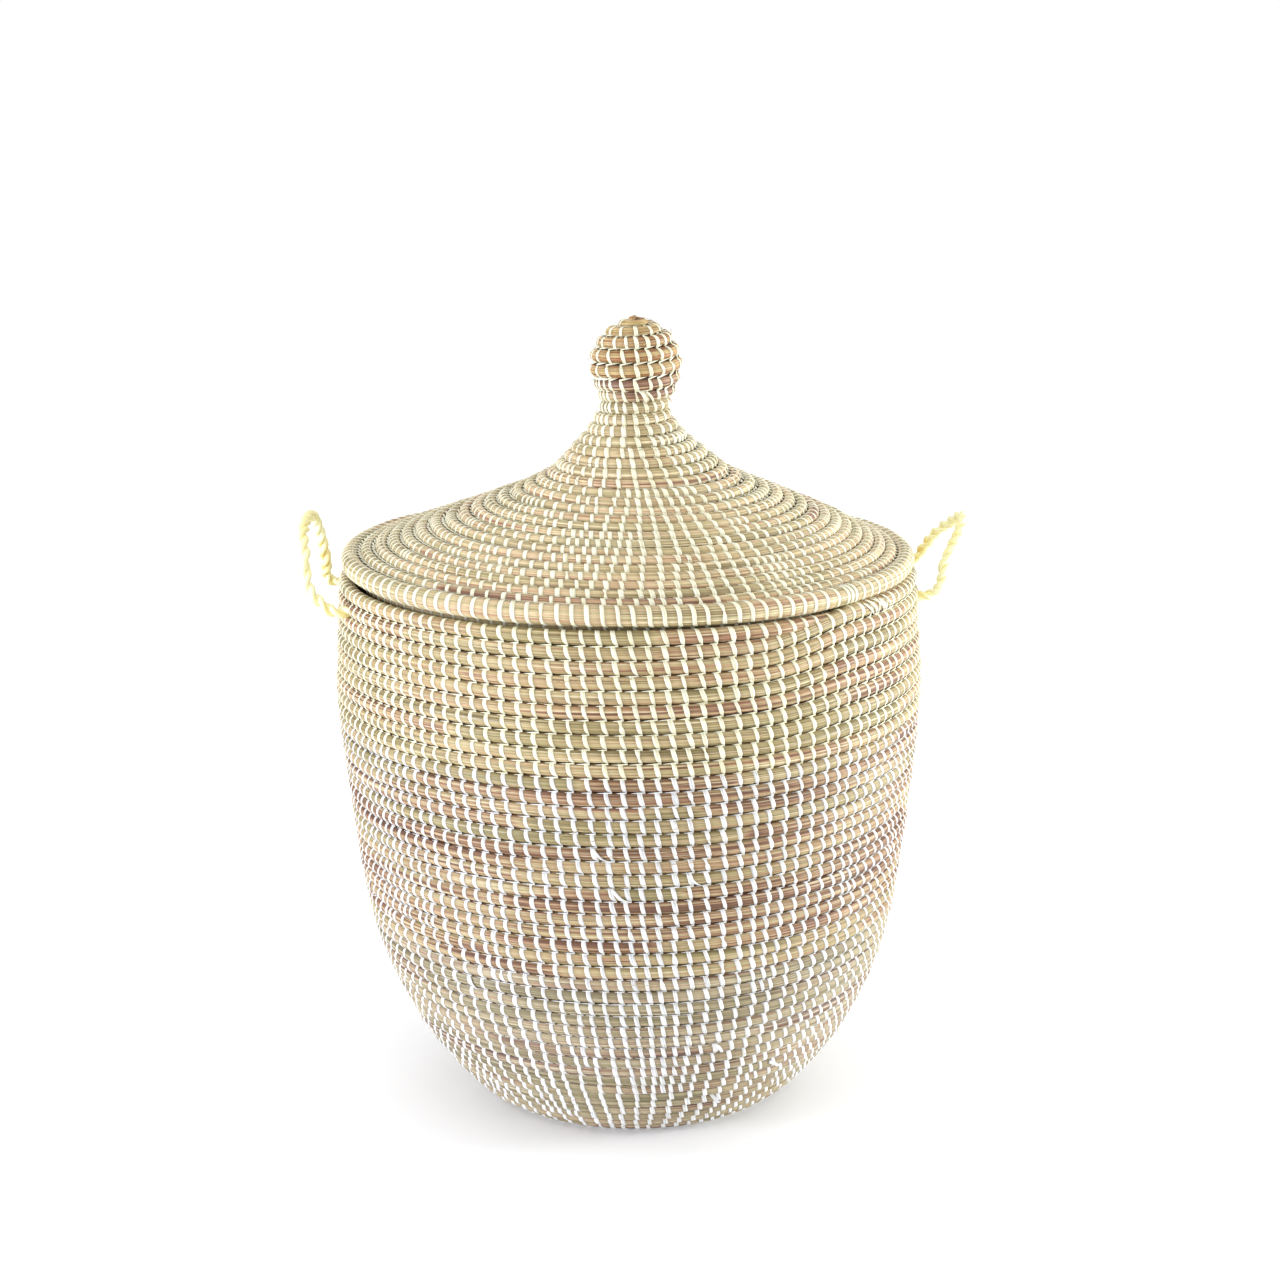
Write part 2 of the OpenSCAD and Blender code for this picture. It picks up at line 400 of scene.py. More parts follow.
def build(name, tubes, material, attributes):
    """One mesh of equal closed tubes. tubes has the shape (tube, ring, side, 3)."""
    count, rows, columns, _ = tubes.shape
    quads = grid_quads(rows, columns)
    caps = np.array([np.arange(columns)[::-1], np.arange(columns) + (rows - 1) * columns])
    shift = np.arange(count)[:, None, None] * rows * columns
    quads = (quads[None] + shift).reshape(-1, 4)
    caps = (caps[None] + shift).reshape(-1, columns)
    if inside_out(tubes[0], grid_quads(rows, columns)):
        quads, caps = quads[:, ::-1], caps[:, ::-1]
    corners = np.concatenate([quads.ravel(), caps.ravel()]).astype(np.int32)
    starts = np.concatenate(
        [np.arange(len(quads)) * 4, len(quads) * 4 + np.arange(len(caps)) * columns]
    )
    mesh = bpy.data.meshes.new(name)
    mesh.vertices.add(count * rows * columns)
    mesh.vertices.foreach_set("co", tubes.astype(np.float32).ravel())
    mesh.loops.add(len(corners))
    mesh.loops.foreach_set("vertex_index", corners)
    mesh.polygons.add(len(starts))
    mesh.polygons.foreach_set("loop_start", starts.astype(np.int32))
    mesh.polygons.foreach_set("use_smooth", np.ones(len(starts), bool))
    for key, values in attributes.items():
        vector = values.shape[-1] == 3 and values.ndim == 4
        kind = "FLOAT_VECTOR" if vector else "FLOAT"
        made = mesh.attributes.new(key, kind, "POINT")
        made.data.foreach_set("vector" if vector else "value", values.astype(np.float32).ravel())
    mesh.update(calc_edges=True)
    mesh.materials.append(material)
    obj = bpy.data.objects.new(name, mesh)
    bpy.context.scene.collection.objects.link(obj)
    return obj


def inside_out(points, quads):
    points = points.reshape(-1, 3)
    points = points - points.mean(0)
    a, b, c, d = (points[quads[:, i]] for i in range(4))
    return np.einsum("ij,ij->i", a, np.cross(b, c) + np.cross(c, d)).sum() < 0


# Height of the stems' ridges and of every second corner, how deep and how far along the
# strips press in, and how much fuller the bundle is between them
STEM_RIDGE = 0.17 * MM
STEM_CORNER = 0.07 * MM
SQUEEZE = 0.34 * MM
SQUEEZE_WIDTH = 2.4 * MM
PLUMP = 0.1 * MM
# From this share of its height on, a bundle gets painted shade, where it lies against the next turn
GROOVE_FROM = 0.74
# No turn lies beside a bundle within this angle of the spiral's free end
FREE_TURN = TURN * 1.01


def beside_strip(course, angle, alpha, marks):
    """1 under and beside a stitch and 0 away from it, where alpha goes around the bundle."""
    radius = along(course, "r", angle)
    way = course["sewn"]
    seen = angle - way * strip_offset(way * alpha, radius) / radius
    i = np.clip(np.searchsorted(marks, seen), 1, len(marks) - 1)
    near = np.minimum(np.abs(seen - marks[i - 1]), np.abs(seen - marks[i])) * radius
    return np.exp(-((near / SQUEEZE_WIDTH) ** 2))


def grass(name, course, first, last, marks, material, floor=None):
    """The bundle of grass from angle first to last, with the ridges of its stems.

    Where no turn lies beside it, at the spiral's free end, it has no painted groove shade."""
    step = RING_STEP / along(course, "r", (first + last) / 2)
    keep = (course["angle"] >= first - step) & (course["angle"] <= last + step)
    angle = course["angle"][keep][:, None]
    alpha = (np.arange(SIDES) + 0.5)[None] * TURN / SIDES
    out, up = course["out"][keep][:, None], course["up"][keep][:, None]
    round_r = 1 / np.sqrt((np.cos(alpha) / out) ** 2 + (np.sin(alpha) / up) ** 2)
    size = out / course["out"].max()
    corners = STEM_CORNER * (-1.0) ** np.arange(SIDES)[None]
    stems = STEM_RIDGE * course["ridges"][keep] + corners
    wide_angle = angle + 0 * alpha
    squeezed = beside_strip(course, wide_angle, alpha, marks)
    radius = round_r + size * (stems - SQUEEZE * squeezed + PLUMP)
    points = place(course, wide_angle, radius * np.cos(alpha), radius * np.sin(alpha))
    if floor is not None:
        points[..., 2] = np.maximum(points[..., 2], floor)
    depth = np.abs(np.sin(alpha)) + 0 * angle
    free = (angle + FREE_TURN > course["angle"][-1]) & (course["sewn"] * np.sin(alpha) > 0)
    if course["sewn"] < 0:
        free = (angle - FREE_TURN < course["angle"][0]) & (np.sin(alpha) < 0)
    # Painted shade where the bundle lies against the next turn, and none at the spiral's free end
    groove = np.where(free, 0, np.clip((depth - GROOVE_FROM) / (1 - GROOVE_FROM), 0, 1))
    # Painted shade also darkens the grass beside each strip, where the strip squeezes it
    groove = np.maximum(groove, 0.5 * squeezed)
    s = course["s"][keep][:, None] + 0 * alpha
    stalk = np.stack([s + course["seed"], round_r * np.cos(alpha), round_r * np.sin(alpha)], -1)
    tone = course["tone"][keep][:, None] + 0 * alpha
    return build(
        name,
        points[None],
        material,
        {"stalk": stalk[None], "groove": groove[None], "tone": tone[None]},
    )


# Points of a stitch's route around a bundle, in degrees, and the share of its width there
STRIP_ROUTE = [
    (235, 0.8), (215, 1), (190, 1), (165, 1), (138, 1), (110, 0.95), (88, 0.9), (66, 0.95),
    (45, 1), (24, 1), (3, 1), (-18, 0.97), (-38, 0.86), (-56, 0.68),
]
# Where the strip dives into the turn beside it: half-thicknesses outwards and down, and width
STRIP_DIVE = [(0.55, 1.0, 0.5), (0.3, 1.32, 0.34)]
DIVE_DEGREES = ([272, 256], [-78, -92])
STRIP_WIDTH = 3.25 * MM
NARROW_STRIP = 2.95 * MM
LIP_STRIP = 2.9 * MM
# How far a strip sinks into the grass, and how much its lean and width vary
STRIP_PULL = 0.2 * MM
LEAN_VARIES = 0.14
WIDTH_VARIES = 0.09
# The first point of the route that lies on the bundle's outside
OUTSIDE_FROM = 8
# The folded strip's outline across: place in half-widths, and height above the grass in mm
STRIP_OUTLINE = [
    (-1, 0.2), (-0.5, 0.43), (0.02, 0.3), (0.5, 0.45), (1, 0.2),
    (0.9, -0.14), (0, -0.14), (-0.9, -0.14),
]


def strip_route(course, marks, rng):
    """Points, widths and outward directions along each stitch."""
    way = course["sewn"]
    out = along(course, "out", marks)[:, None]
    up = along(course, "up", marks)[:, None]
    degrees = np.array([a for a, _ in STRIP_ROUTE])
    alpha = np.radians(degrees)[None]
    x = (out - STRIP_PULL) * np.cos(alpha)
    y = (up - STRIP_PULL) * np.sin(alpha)
    dive_x = np.array([[d[0] for d in STRIP_DIVE]]) * out
    dive_y = -np.array([[d[1] for d in STRIP_DIVE]]) * up
    x = np.concatenate([-dive_x[:, ::-1], x, dive_x], 1)
    y = np.concatenate([dive_y[:, ::-1], y, dive_y], 1)
    start, end = np.radians(DIVE_DEGREES)
    whole = np.concatenate([start, alpha[0], end])
    radius = along(course, "r", marks)[:, None]
    offset = strip_offset(whole[None], radius)
    offset[:, OUTSIDE_FROM:] *= rng.normal(1, LEAN_VARIES, (len(marks), 1))
    dive_widths = [w for _, _, w in STRIP_DIVE]
    widths = np.array([*dive_widths[::-1], *[w for _, w in STRIP_ROUTE], *dive_widths])
    width = widths[None] * rng.normal(1, WIDTH_VARIES, (len(marks), 1)).clip(0.75, 1.25)
    # One strip in twenty is pinched by a twist somewhere on its outside
    twisted = rng.random(len(marks)) < 0.05
    where = rng.uniform(9, 14, len(marks))
    dip = np.exp(-((np.arange(len(widths))[None] - where[:, None]) / 1.1) ** 2)
    width = width * (1 - 0.6 * dip * twisted[:, None])
    angle = marks[:, None] + way * offset / radius
    points = place(course, angle, x, way * y)
    flat = np.stack([x, y], -1)
    tangent = np.gradient(flat, axis=1)
    tangent /= np.linalg.norm(tangent, axis=-1)[..., None]
    outwards = direction(course, angle, -tangent[..., 1], way * tangent[..., 0])
    return points, width, outwards


def stitches(name, course, marks, material, seed, width=STRIP_WIDTH, floor=None):
    """A plastic strip around the bundle at each mark, with both ends sunk in the turn beside it."""
    rng = np.random.default_rng(seed)
    points, widths, outwards = strip_route(course, marks, rng)
    slim = np.clip(along(course, "out", marks) / COIL_OUT, 0.6, 1)[:, None]
    strips = ribbon(points, widths * slim, outwards, width)
    if floor is not None:
        strips[..., 2] = np.maximum(strips[..., 2], floor)
    return build(name, strips, material, {"strip": strip_coordinates(strips, rng)})


def ribbon(points, widths, outwards, width):
    """Closed strips with the folded outline along these points."""
    way = np.gradient(points, axis=1)
    way /= np.linalg.norm(way, axis=-1)[..., None]
    across = np.cross(way, outwards)
    across /= np.linalg.norm(across, axis=-1)[..., None]
    outline = np.array(STRIP_OUTLINE)
    half = (widths * width / 2)[..., None, None]
    tall = np.minimum(1, widths + 0.3)[..., None, None]
    return (
        points[:, :, None]
        + across[:, :, None] * outline[None, None, :, :1] * half
        + outwards[:, :, None] * outline[None, None, :, 1:] * MM * tall
    )


def strip_coordinates(strips, rng):
    """Place across each strip, along it, and a number of its own."""
    count, rows, columns, _ = strips.shape
    run = np.linspace(0, 1, rows)[None, :, None] + np.zeros((count, 1, columns))
    side = np.array(STRIP_OUTLINE)[None, None, :, 0] + np.zeros((count, rows, 1))
    one = rng.random(count)[:, None, None] + np.zeros((1, rows, columns))
    return np.stack([side, run, one], -1)


# ---------- materials ----------


def linear(r, g, b, share=1.0):
    """A colour given as 0 to 255 in sRGB, and the share of its light that it keeps."""
    values = np.array([r, g, b]) / 255
    bright = ((values + 0.055) / 1.055) ** 2.4
    return (*share * np.where(values <= 0.04045, values / 12.92, bright), 1)


# The share of its light that each kind of colour keeps
GRASS_SHARE = 0.71
PLASTIC_SHARE = 0.87


def dry(r, g, b):
    return linear(r, g, b, GRASS_SHARE)


def plastic(r, g, b):
    return linear(r, g, b, PLASTIC_SHARE)


class Shader:
    """Short names for making one material's nodes."""

    def __init__(self, name):
        self.material = bpy.data.materials.new(name)
        self.material.use_nodes = True
        self.nodes = self.material.node_tree.nodes
        self.links = self.material.node_tree.links
        self.surface = self.nodes["Principled BSDF"]

    def put(self, value, socket):
        if isinstance(value, bpy.types.NodeSocket):
            self.links.new(value, socket)
        else:
            socket.default_value = value

    def attribute(self, name, output="Vector"):
        node = self.nodes.new("ShaderNodeAttribute")
        node.attribute_name = name
        return node.outputs[output]

    def scaled(self, vector, scale):
        node = self.nodes.new("ShaderNodeVectorMath")
        node.operation = "MULTIPLY"
        self.put(vector, node.inputs[0])
        node.inputs[1].default_value = scale
        return node.outputs[0]

    def noise(self, vector, detail=2.0, roughness=0.5):
        node = self.nodes.new("ShaderNodeTexNoise")
        self.put(vector, node.inputs["Vector"])
        node.inputs["Scale"].default_value = 1
        node.inputs["Detail"].default_value = detail
        node.inputs["Roughness"].default_value = roughness
        return node.outputs["Fac"]

    def math(self, operation, a, b=0.0, clamp=False):
        node = self.nodes.new("ShaderNodeMath")
        node.operation = operation
        node.use_clamp = clamp
        self.put(a, node.inputs[0])
        self.put(b, node.inputs[1])
        return node.outputs[0]

    def spread(self, value, low, high, to_low=0.0, to_high=1.0):
        node = self.nodes.new("ShaderNodeMapRange")
        self.put(value, node.inputs["Value"])
        node.inputs["From Min"].default_value = low
        node.inputs["From Max"].default_value = high
        node.inputs["To Min"].default_value = to_low
        node.inputs["To Max"].default_value = to_high
        return node.outputs["Result"]

    def ramp(self, value, stops):
        node = self.nodes.new("ShaderNodeValToRGB")
        self.put(value, node.inputs["Fac"])
        elements = node.color_ramp.elements
        for i, (at, colour) in enumerate(stops):
            element = elements[i] if i < 2 else elements.new(at)
            element.position = at
            element.color = colour
        return node.outputs["Color"]

    def mix(self, share, a, b, blend="MIX"):
        node = self.nodes.new("ShaderNodeMix")
        node.data_type = "RGBA"
        node.blend_type = blend
        self.put(share, node.inputs["Factor"])
        self.put(a, node.inputs[6])
        self.put(b, node.inputs[7])
        return node.outputs[2]

    def toned(self, colour, saturation, value):
        node = self.nodes.new("ShaderNodeHueSaturation")
        node.inputs["Saturation"].default_value = saturation
        node.inputs["Value"].default_value = value
        self.put(colour, node.inputs["Color"])
        return node.outputs["Color"]

    def bump(self, height, distance):
        node = self.nodes.new("ShaderNodeBump")
        node.inputs["Distance"].default_value = distance
        node.inputs["Strength"].default_value = 1
        self.put(height, node.inputs["Height"])
        self.links.new(node.outputs["Normal"], self.surface.inputs["Normal"])


def grass_material(name, brown=0.0, saturation=1.0, value=1.0):
    """Dry stems: streaks of olive, straw and russet along the bundle, with painted shade in the
    grooves.
    """
    made = Shader(name)
    stalk = made.attribute("stalk")
    tone = made.attribute("tone", "Fac")
    stems = made.noise(made.scaled(stalk, (9, 620, 620)), 2)
    tufts = made.noise(made.scaled(stalk, (6, 210, 210)), 1)
    fibres = made.noise(made.scaled(stalk, (35, 1500, 1500)), 2, 0.6)
    mixed = made.math("ADD", tone, made.spread(stems, 0.3, 0.7, -0.36, 0.36))
    mixed = made.math("ADD", mixed, made.spread(tufts, 0.3, 0.7, -0.22 + brown, 0.22 + brown))
    colour = made.ramp(
        mixed,
        [
            (0.0, dry(156, 147, 98)),
            (0.2, dry(186, 174, 124)),
            (0.4, dry(206, 189, 142)),
            (0.56, dry(214, 194, 150)),
            (0.7, dry(203, 170, 128)),
            (0.86, dry(172, 128, 96)),
            (1.0, dry(128, 90, 66)),
        ],
    )
    # Thin pale streaks: partly pale stems and partly a painted highlight along the fibres
    pale = made.noise(made.scaled(stalk, (7, 800, 800)), 0)
    colour = made.mix(made.spread(pale, 0.62, 0.74, 0, 0.8), colour, dry(238, 228, 192))
    # Thin dark lines: partly dark stems and partly painted shade in the gaps between stems
    gap = made.noise(made.scaled(stalk, (12, 1100, 1100)), 0)
    colour = made.mix(made.spread(gap, 0.3, 0.4, 0.55, 0), colour, dry(100, 72, 36))
    lines = made.noise(made.scaled(stalk, (9, 980, 980)), 1)
    light = made.math(
        "MULTIPLY", made.spread(fibres, 0.25, 0.75, 0.55, 1), made.spread(lines, 0.32, 0.64, 0.5, 1)
    )
    shade = made.ramp(light, [(0.25, (0.56, 0.45, 0.27, 1)), (0.95, (1.12, 1.11, 1.08, 1))])
    colour = made.mix(1.0, colour, shade, "MULTIPLY")
    # Painted shade: the grooves and the grass beside the strips are darkened towards deep brown
    groove = made.attribute("groove", "Fac")
    deep = made.noise(made.scaled(stalk, (14, 25, 25)), 1)
    dark = made.math("MULTIPLY", groove, made.spread(deep, 0.3, 0.7, 0.55, 0.98))
    colour = made.mix(dark, colour, dry(74, 47, 21))
    colour = made.toned(colour, saturation, value)
    made.links.new(colour, made.surface.inputs["Base Color"])
    made.links.new(made.spread(stems, 0.3, 0.7, 0.5, 0.72), made.surface.inputs["Roughness"])
    height = made.math("ADD", stems, made.math("MULTIPLY", fibres, 0.6))
    made.bump(height, 0.35 * MM)
    return made.material


def strip_material(name, light, shade):
    """Soft plastic strip, folded lengthways, with fine drawn lines that mix its lit colour with
    painted shade.
    """
    made = Shader(name)
    strip = made.attribute("strip")
    lines = made.noise(made.scaled(strip, (2.6, 1.5, 90)), 2)
    each = made.noise(made.scaled(strip, (0, 0, 60)), 0)
    colour = made.mix(made.spread(lines, 0.42, 0.66, 0, 1), light, shade)
    colour = made.mix(1.0, colour, made.spread(each, 0.3, 0.7, 0.94, 1.03), "MULTIPLY")
    made.links.new(colour, made.surface.inputs["Base Color"])
    made.links.new(made.spread(lines, 0.3, 0.7, 0.32, 0.5), made.surface.inputs["Roughness"])
    made.bump(lines, 0.18 * MM)
    return made.material


# Lit and shaded copies of one grass: each value is partly the grass's own colour and partly painted
# light, matched part by part to how bright it shows. The lid's grass, also on its edge, its lip and
# the loose stems, is brightened most, and the body's bands get darker towards the base.
GRASS = grass_material("grass_lid", 0, 0.88, 1.54)
GOLDEN_GRASS = grass_material("grass_golden", 0, 0.95, 1.25)
MIDDLE_GRASS = grass_material("grass_middle", 0.02, 0.94, 1.14)
GREY_GRASS = grass_material("grass_grey", 0, 0.8, 1.04)
KNOB_GRASS = grass_material("grass_knob", 0.12, 1.08, 1.3)
# Cream and white strips, each in a lit colour and a painted shaded colour
CREAM = strip_material("cream_strip", plastic(255, 255, 234), plastic(230, 222, 178))
WHITE = strip_material("white_strip", plastic(255, 255, 251), plastic(206, 207, 208))

# ---------- basket body ----------

# The turn where the spiral starts in the base
BODY_START = -8.75
# Below this turn, grass and strips are pressed flat this far above the floor
PRESSED_BELOW = 5
FLOOR_GAP = 0.5 * MM
STRIP_FLOOR = 0.15 * MM
# The rim's end, the angle over which it thins out, and the rows that climb beside it
RIM_END = math.radians(49)
RIM_THIN = 0.42
RIM_CLIMB = 10.5 * MM
CLIMB_FROM = 34
CLIMB_FADE = 3.8
# In turns before the wall's last: where the climb is whole, where it drops, and how quickly
CLIMB_WHOLE = 0.8
DROP_FROM = 0.6
DROP_TAKES = 0.5
# By turn, how far the body leans to the right, in mm
BODY_ASIDE = [(0, 4), (5, 5), (12, 4), (20, 2.2), (30, 1.5), (36, 1), (43, 0)]


# Share of brown stems, by turn
BODY_BROWNS = [
    (0, 0.2), (8, 0.15), (18, 0.25), (21, 0.5), (27, 0.7), (30, 0.6), (33, 0.5), (35, 0.3),
    (43, 0.3),
]


def body_browns(turn):
    return np.interp(turn, *zip(*BODY_BROWNS))


body = make_course(
    BODY_RINGS,
    lambda angle: angle / TURN,
    BODY_START * TURN,
    WALL_TURNS * TURN + RIM_END,
    COIL_OUT,
    COIL_UP,
    seed=11,
    first_turn=-BASE_TURNS,
    browns=body_browns,
)
taper(body, 75 * MM, 0.32, at_end=True, lean=1)
taper(body, 25 * MM, 0.6, at_end=False)


def climb(course):
    """Lifts and thickens the last rows right of the rim's end, so that the lid rests on them."""
    past_end = np.mod(course["angle"] - RIM_END + RIM_THIN, TURN)
    rise = eased(np.clip(past_end / RIM_THIN, 0, 1))
    window = rise * (1 - eased(np.clip(past_end / CLIMB_FADE, 0, 1)))
    part = np.clip((course["turn"] - CLIMB_FROM) / (WALL_TURNS - CLIMB_WHOLE - CLIMB_FROM), 0, 1)
    dropped = np.clip((course["turn"] - WALL_TURNS + DROP_FROM) / DROP_TAKES, 0, 1)
    late = 1 - eased(dropped)
    course["z"] = course["z"] + RIM_CLIMB * window * part * late
    thicker = RIM_CLIMB / (WALL_TURNS - CLIMB_FROM) / PITCH
    course["up"] = course["up"] * (1 + thicker * window * late * (part > 0))


climb(body)
body["aside"] = MM * np.interp(body["turn"], *zip(*BODY_ASIDE))
body_marks = stitch_angles(body, body["angle"][0] + 1.2, body["angle"][-1] - 0.06, BODY_DRIFT)

# The bands below this turn are of greyer grass, kept darker with painted shade
GREY_BELOW = 19
# Piece, its first turn, and the CAD nodes that it replaces
BODY_BANDS = [
    ("base", -9, ["base_coil", "base_button"]),
    ("heel", 0.5, ["heel_coil"]),
    ("lower_wall_1", 4.5, ["lower_wall_coil"]),
    ("lower_wall_2", 11.5, []),
    ("lower_wall_3", 15.5, []),
    ("middle_wall_1", 18.5, ["middle_wall_coil"]),
    ("middle_wall_2", 23.5, []),
    ("middle_wall_3", 28.5, []),
    ("upper_wall_1", CREAM_FROM, ["upper_wall_coil"]),
    ("upper_wall_2", 37.5, []),
    ("rim", 41.6, ["rim_coil"]),
]


def finish_piece(obj, body_name, nodes=()):
    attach(obj, body_name)
    if nodes:
        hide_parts(*nodes)
    return obj


def make_body():
    ends = [first for _, first, _ in BODY_BANDS[1:]] + [WALL_TURNS + 1]
    for (name, first, nodes), last in zip(BODY_BANDS, ends):
        low, high = first * TURN, last * TURN
        pressed, cream, grey = last < PRESSED_BELOW, first >= CREAM_FROM, last < GREY_BELOW
        material = GOLDEN_GRASS if cream else GREY_GRASS if grey else MIDDLE_GRASS
        floor = FLOOR_GAP if pressed else None
        made = grass(name + "_grass", body, low, high, body_marks, material, floor)
        finish_piece(made, "basket", nodes)
        chosen = body_marks[(body_marks >= low) & (body_marks < high)]
        made = stitches(
            name + "_stitches", body, chosen, CREAM if cream else WHITE, 100 + int(first),
            floor=STRIP_FLOOR if pressed else None,
        )
        binding = ["rim_binding"] if name == "rim" else []
        finish_piece(made, "basket", binding)


make_body()

# ---------- lid ----------

# By turn, how much wider the lid is than the CAD, in mm
NECK_CHANGE = [
    (10, 0), (12, -2), (14, -3.6), (16, -1.6), (18, 0), (20, 1.6), (21, 2), (22, 0.6), (23, -1.4),
    (24, -0.6), (25, -0.8), (27, 0),
]
# By turn, how far the lid leans to the right, in mm
LID_ASIDE = [
    (0, 0.8), (2, 3.5), (6, 10), (11, 12), (15, 8.5), (18, 5.5), (20, 4.5), (22, 6), (27, 6.2),
]
# By turn, how far apart the stitches are, against rows of the same size elsewhere
LID_SPREAD = [(20, 1), (22.6, 0.94), (23.8, 1.08), (25.2, 1.34)]
# Where level turns step to the next, and the angle that the step takes
JOG_AT = math.radians(136)
JOG_WIDE = math.radians(44)
JOG_FROM = JOG_AT - JOG_WIDE / 2
# The turns where the grass ends on top of the knob, and where its stitches end
LID_END = LID_TURNS + 1.95
LID_SEWN = LID_TURNS + 0.8


def level_turns(angle):
    """Level turns, with a short step from each to the next at one side."""
    place = (angle - JOG_FROM) / TURN
    whole = np.floor(place)
    return whole + eased(np.clip((place - whole) * TURN / JOG_WIDE, 0, 1))


def lid_turn(angle):
    """Turn of the lid's spiral, which closes into level turns beside the thick edge."""
    level = np.clip((3.2 - angle / TURN) / 2.2, 0, 1)
    return level * level_turns(angle) + (1 - level) * angle / TURN


def lid_browns(turn):
    return np.interp(turn, [0, 8, 20, 23, 28], [0.15, 0.12, 0.15, 0.6, 0.8])


lid = make_course(
    LID_RINGS,
    lid_turn,
    JOG_FROM - TURN,
    LID_END * TURN,
    LID_OUT,
    LID_UP,
    seed=23,
    sewn=-1,
    browns=lid_browns,
)
lid["r"] = lid["r"] + MM * np.interp(lid["turn"], *zip(*NECK_CHANGE))
lid["aside"] = MM * np.interp(lid["turn"], *zip(*LID_ASIDE))
lid["spread"] = np.interp(lid["turn"], *zip(*LID_SPREAD))
taper(lid, 90 * MM, 0.3, at_end=False)
taper(lid, 42 * MM, 0.62, at_end=True, lean=0)
lid_marks = stitch_angles(lid, LID_SEWN * TURN, lid["angle"][0] + 0.05, LID_DRIFT)

LID_BANDS = [
    ("lid_brim_1", -1, ["lid_brim_coil"]),
    ("lid_brim_2", 4.5, []),
    ("lid_crown", 9.5, ["lid_crown_coil"]),
    ("lid_neck", 19.5, ["lid_neck_coil"]),
    ("knob", 23.5, ["knob_coil", "knob_button"]),
]


def make_lid():
    ends = [first for _, first, _ in LID_BANDS[1:]] + [LID_TURNS + 3]
    for (name, first, nodes), last in zip(LID_BANDS, ends):
        low, high = first * TURN, last * TURN
        knob = name == "knob"
        made = grass(name + "_grass", lid, low, high, lid_marks, KNOB_GRASS if knob else GRASS)
        finish_piece(made, "lid", nodes)
        chosen = lid_marks[(lid_marks >= low) & (lid_marks < high)]
        width = NARROW_STRIP if first > 15 else STRIP_WIDTH
        made = stitches(name + "_stitches", lid, chosen, CREAM, 200 + int(first), width)
        finish_piece(made, "lid")


make_lid()

# Tone that the edge's grass never falls below, and three close stitches that hold its joint
EDGE_TONE = 0.28
JOINT_STITCHES = np.array([0.047, 0.0255, 0.004])


def make_edge():
    """The thick bundle around the lid's edge, closed at the front right."""
    rings = np.array([EDGE_AT - 10 * MM * FIRST_STEP, EDGE_AT, EDGE_AT + 10 * MM * FIRST_STEP])
    edge = make_course(
        rings, lambda angle: 0 * angle, RIM_END - TURN, RIM_END, EDGE_R, EDGE_R,
        seed=37, sewn=-1, first_turn=-1,
    )
    edge["tone"] = np.maximum(edge["tone"], EDGE_TONE)
    marks = stitch_angles(edge, RIM_END - 0.095, RIM_END - TURN + 0.085, 0.0)
    marks = np.append(marks, RIM_END - JOINT_STITCHES)
    made = grass("lid_edge_grass", edge, -9, 9, marks, GRASS)
    finish_piece(made, "lid", ["lid_edge_coil"])
    made = stitches("lid_edge_stitches", edge, marks, CREAM, 310)
    finish_piece(made, "lid", ["lid_edge_binding"])


make_edge()


def make_lip():
    """Two thin turns under the lid, which drop inside the rim."""
    step = LIP_UPPER - LIP_LOWER
    rings = np.array([LIP_LOWER - step, LIP_LOWER, LIP_UPPER, LID_RINGS[0]])
    lip = make_course(
        rings, level_turns, JOG_FROM - TURN, JOG_FROM + TURN, LIP_R, 0.97 * LIP_R, seed=41,
        sewn=-1, first_turn=-1, browns=lambda turn: 0 * turn,
    )
    taper(lip, 40 * MM, 0.4, at_end=False)
    marks = stitch_angles(lip, lip["angle"][-1] - 0.02, lip["angle"][0] + 0.1, 0.0)
    made = grass("lid_lip_grass", lip, -9, 99, marks, GRASS)
    finish_piece(made, "lid", ["lid_lip_coil"])
    made = stitches("lid_lip_stitches", lip, marks, CREAM, 320, LIP_STRIP)
    finish_piece(made, "lid")


make_lip()

# ---------- rope handles ----------

ROPE_PLY_R = 2.55 * MM
PLY_OFFSET = 1.7 * MM
ROPE_TWIST = 21 * MM
ROPE_SIDES = 10
ROPE_STEP = 0.9 * MM
# The wall's face, inwards from the handle's pivot
FACE_IN = 9 * MM
# A leg is skewed in full from this height on, and by the skew at this distance along the wall
SKEW_RISE = 24 * MM
SKEW_AT = 50 * MM
# Half of each loop from its hole to its top, in mm: outwards, upwards, along the wall
LEFT_LOOP = [
    (9, 0, 51), (14, 4, 50), (18, 11, 48), (21, 24, 44), (23, 40, 38), (25, 52, 29), (26, 60, 15),
    (26, 62, 0),
]
RIGHT_LOOP = [
    (9, 0, 51), (15, 3, 50), (20, 9, 46), (24, 19, 40), (30, 29, 32), (37, 38, 22), (42, 45, 11),
    (44, 47, 0),
]
# The rope's hidden end, in mm from the wall's face: a stop knot, and then the way out
KNOT = [
    (-26, 0, 47), (-24, -4, 49), (-22, -3, 53.5), (-19.5, 2, 54.5), (-17, 4, 50.5), (-13, 1, 50.5),
    (0, 0, 51),
]


def rope_path(loop, side, pivot, height, skew, lift):
    """Even steps along the rope, from knot to knot.

    skew moves one leg outwards and the other inwards, and lift raises the rope's two ends.
    """
    face = pivot - FACE_IN
    half = np.array([*KNOT, *loop]) * MM
    other = half[::-1][1:] * [1, 1, -1]
    whole = rounded(np.concatenate([half, other]), 10)
    risen = eased(np.clip(whole[:, 1] / SKEW_RISE, 0, 1))
    whole[:, 0] -= skew * risen * whole[:, 2] / SKEW_AT
    whole[:, 1] += lift * (1 - risen)
    path = np.stack([side * (face + whole[:, 0]), whole[:, 2], height + whole[:, 1]], 1)
    run = np.concatenate([[0], np.cumsum(np.linalg.norm(np.diff(path, axis=0), axis=1))])
    even = np.linspace(0, run[-1], int(run[-1] / ROPE_STEP))
    return even, np.stack([np.interp(even, run, path[:, i]) for i in range(3)], 1)


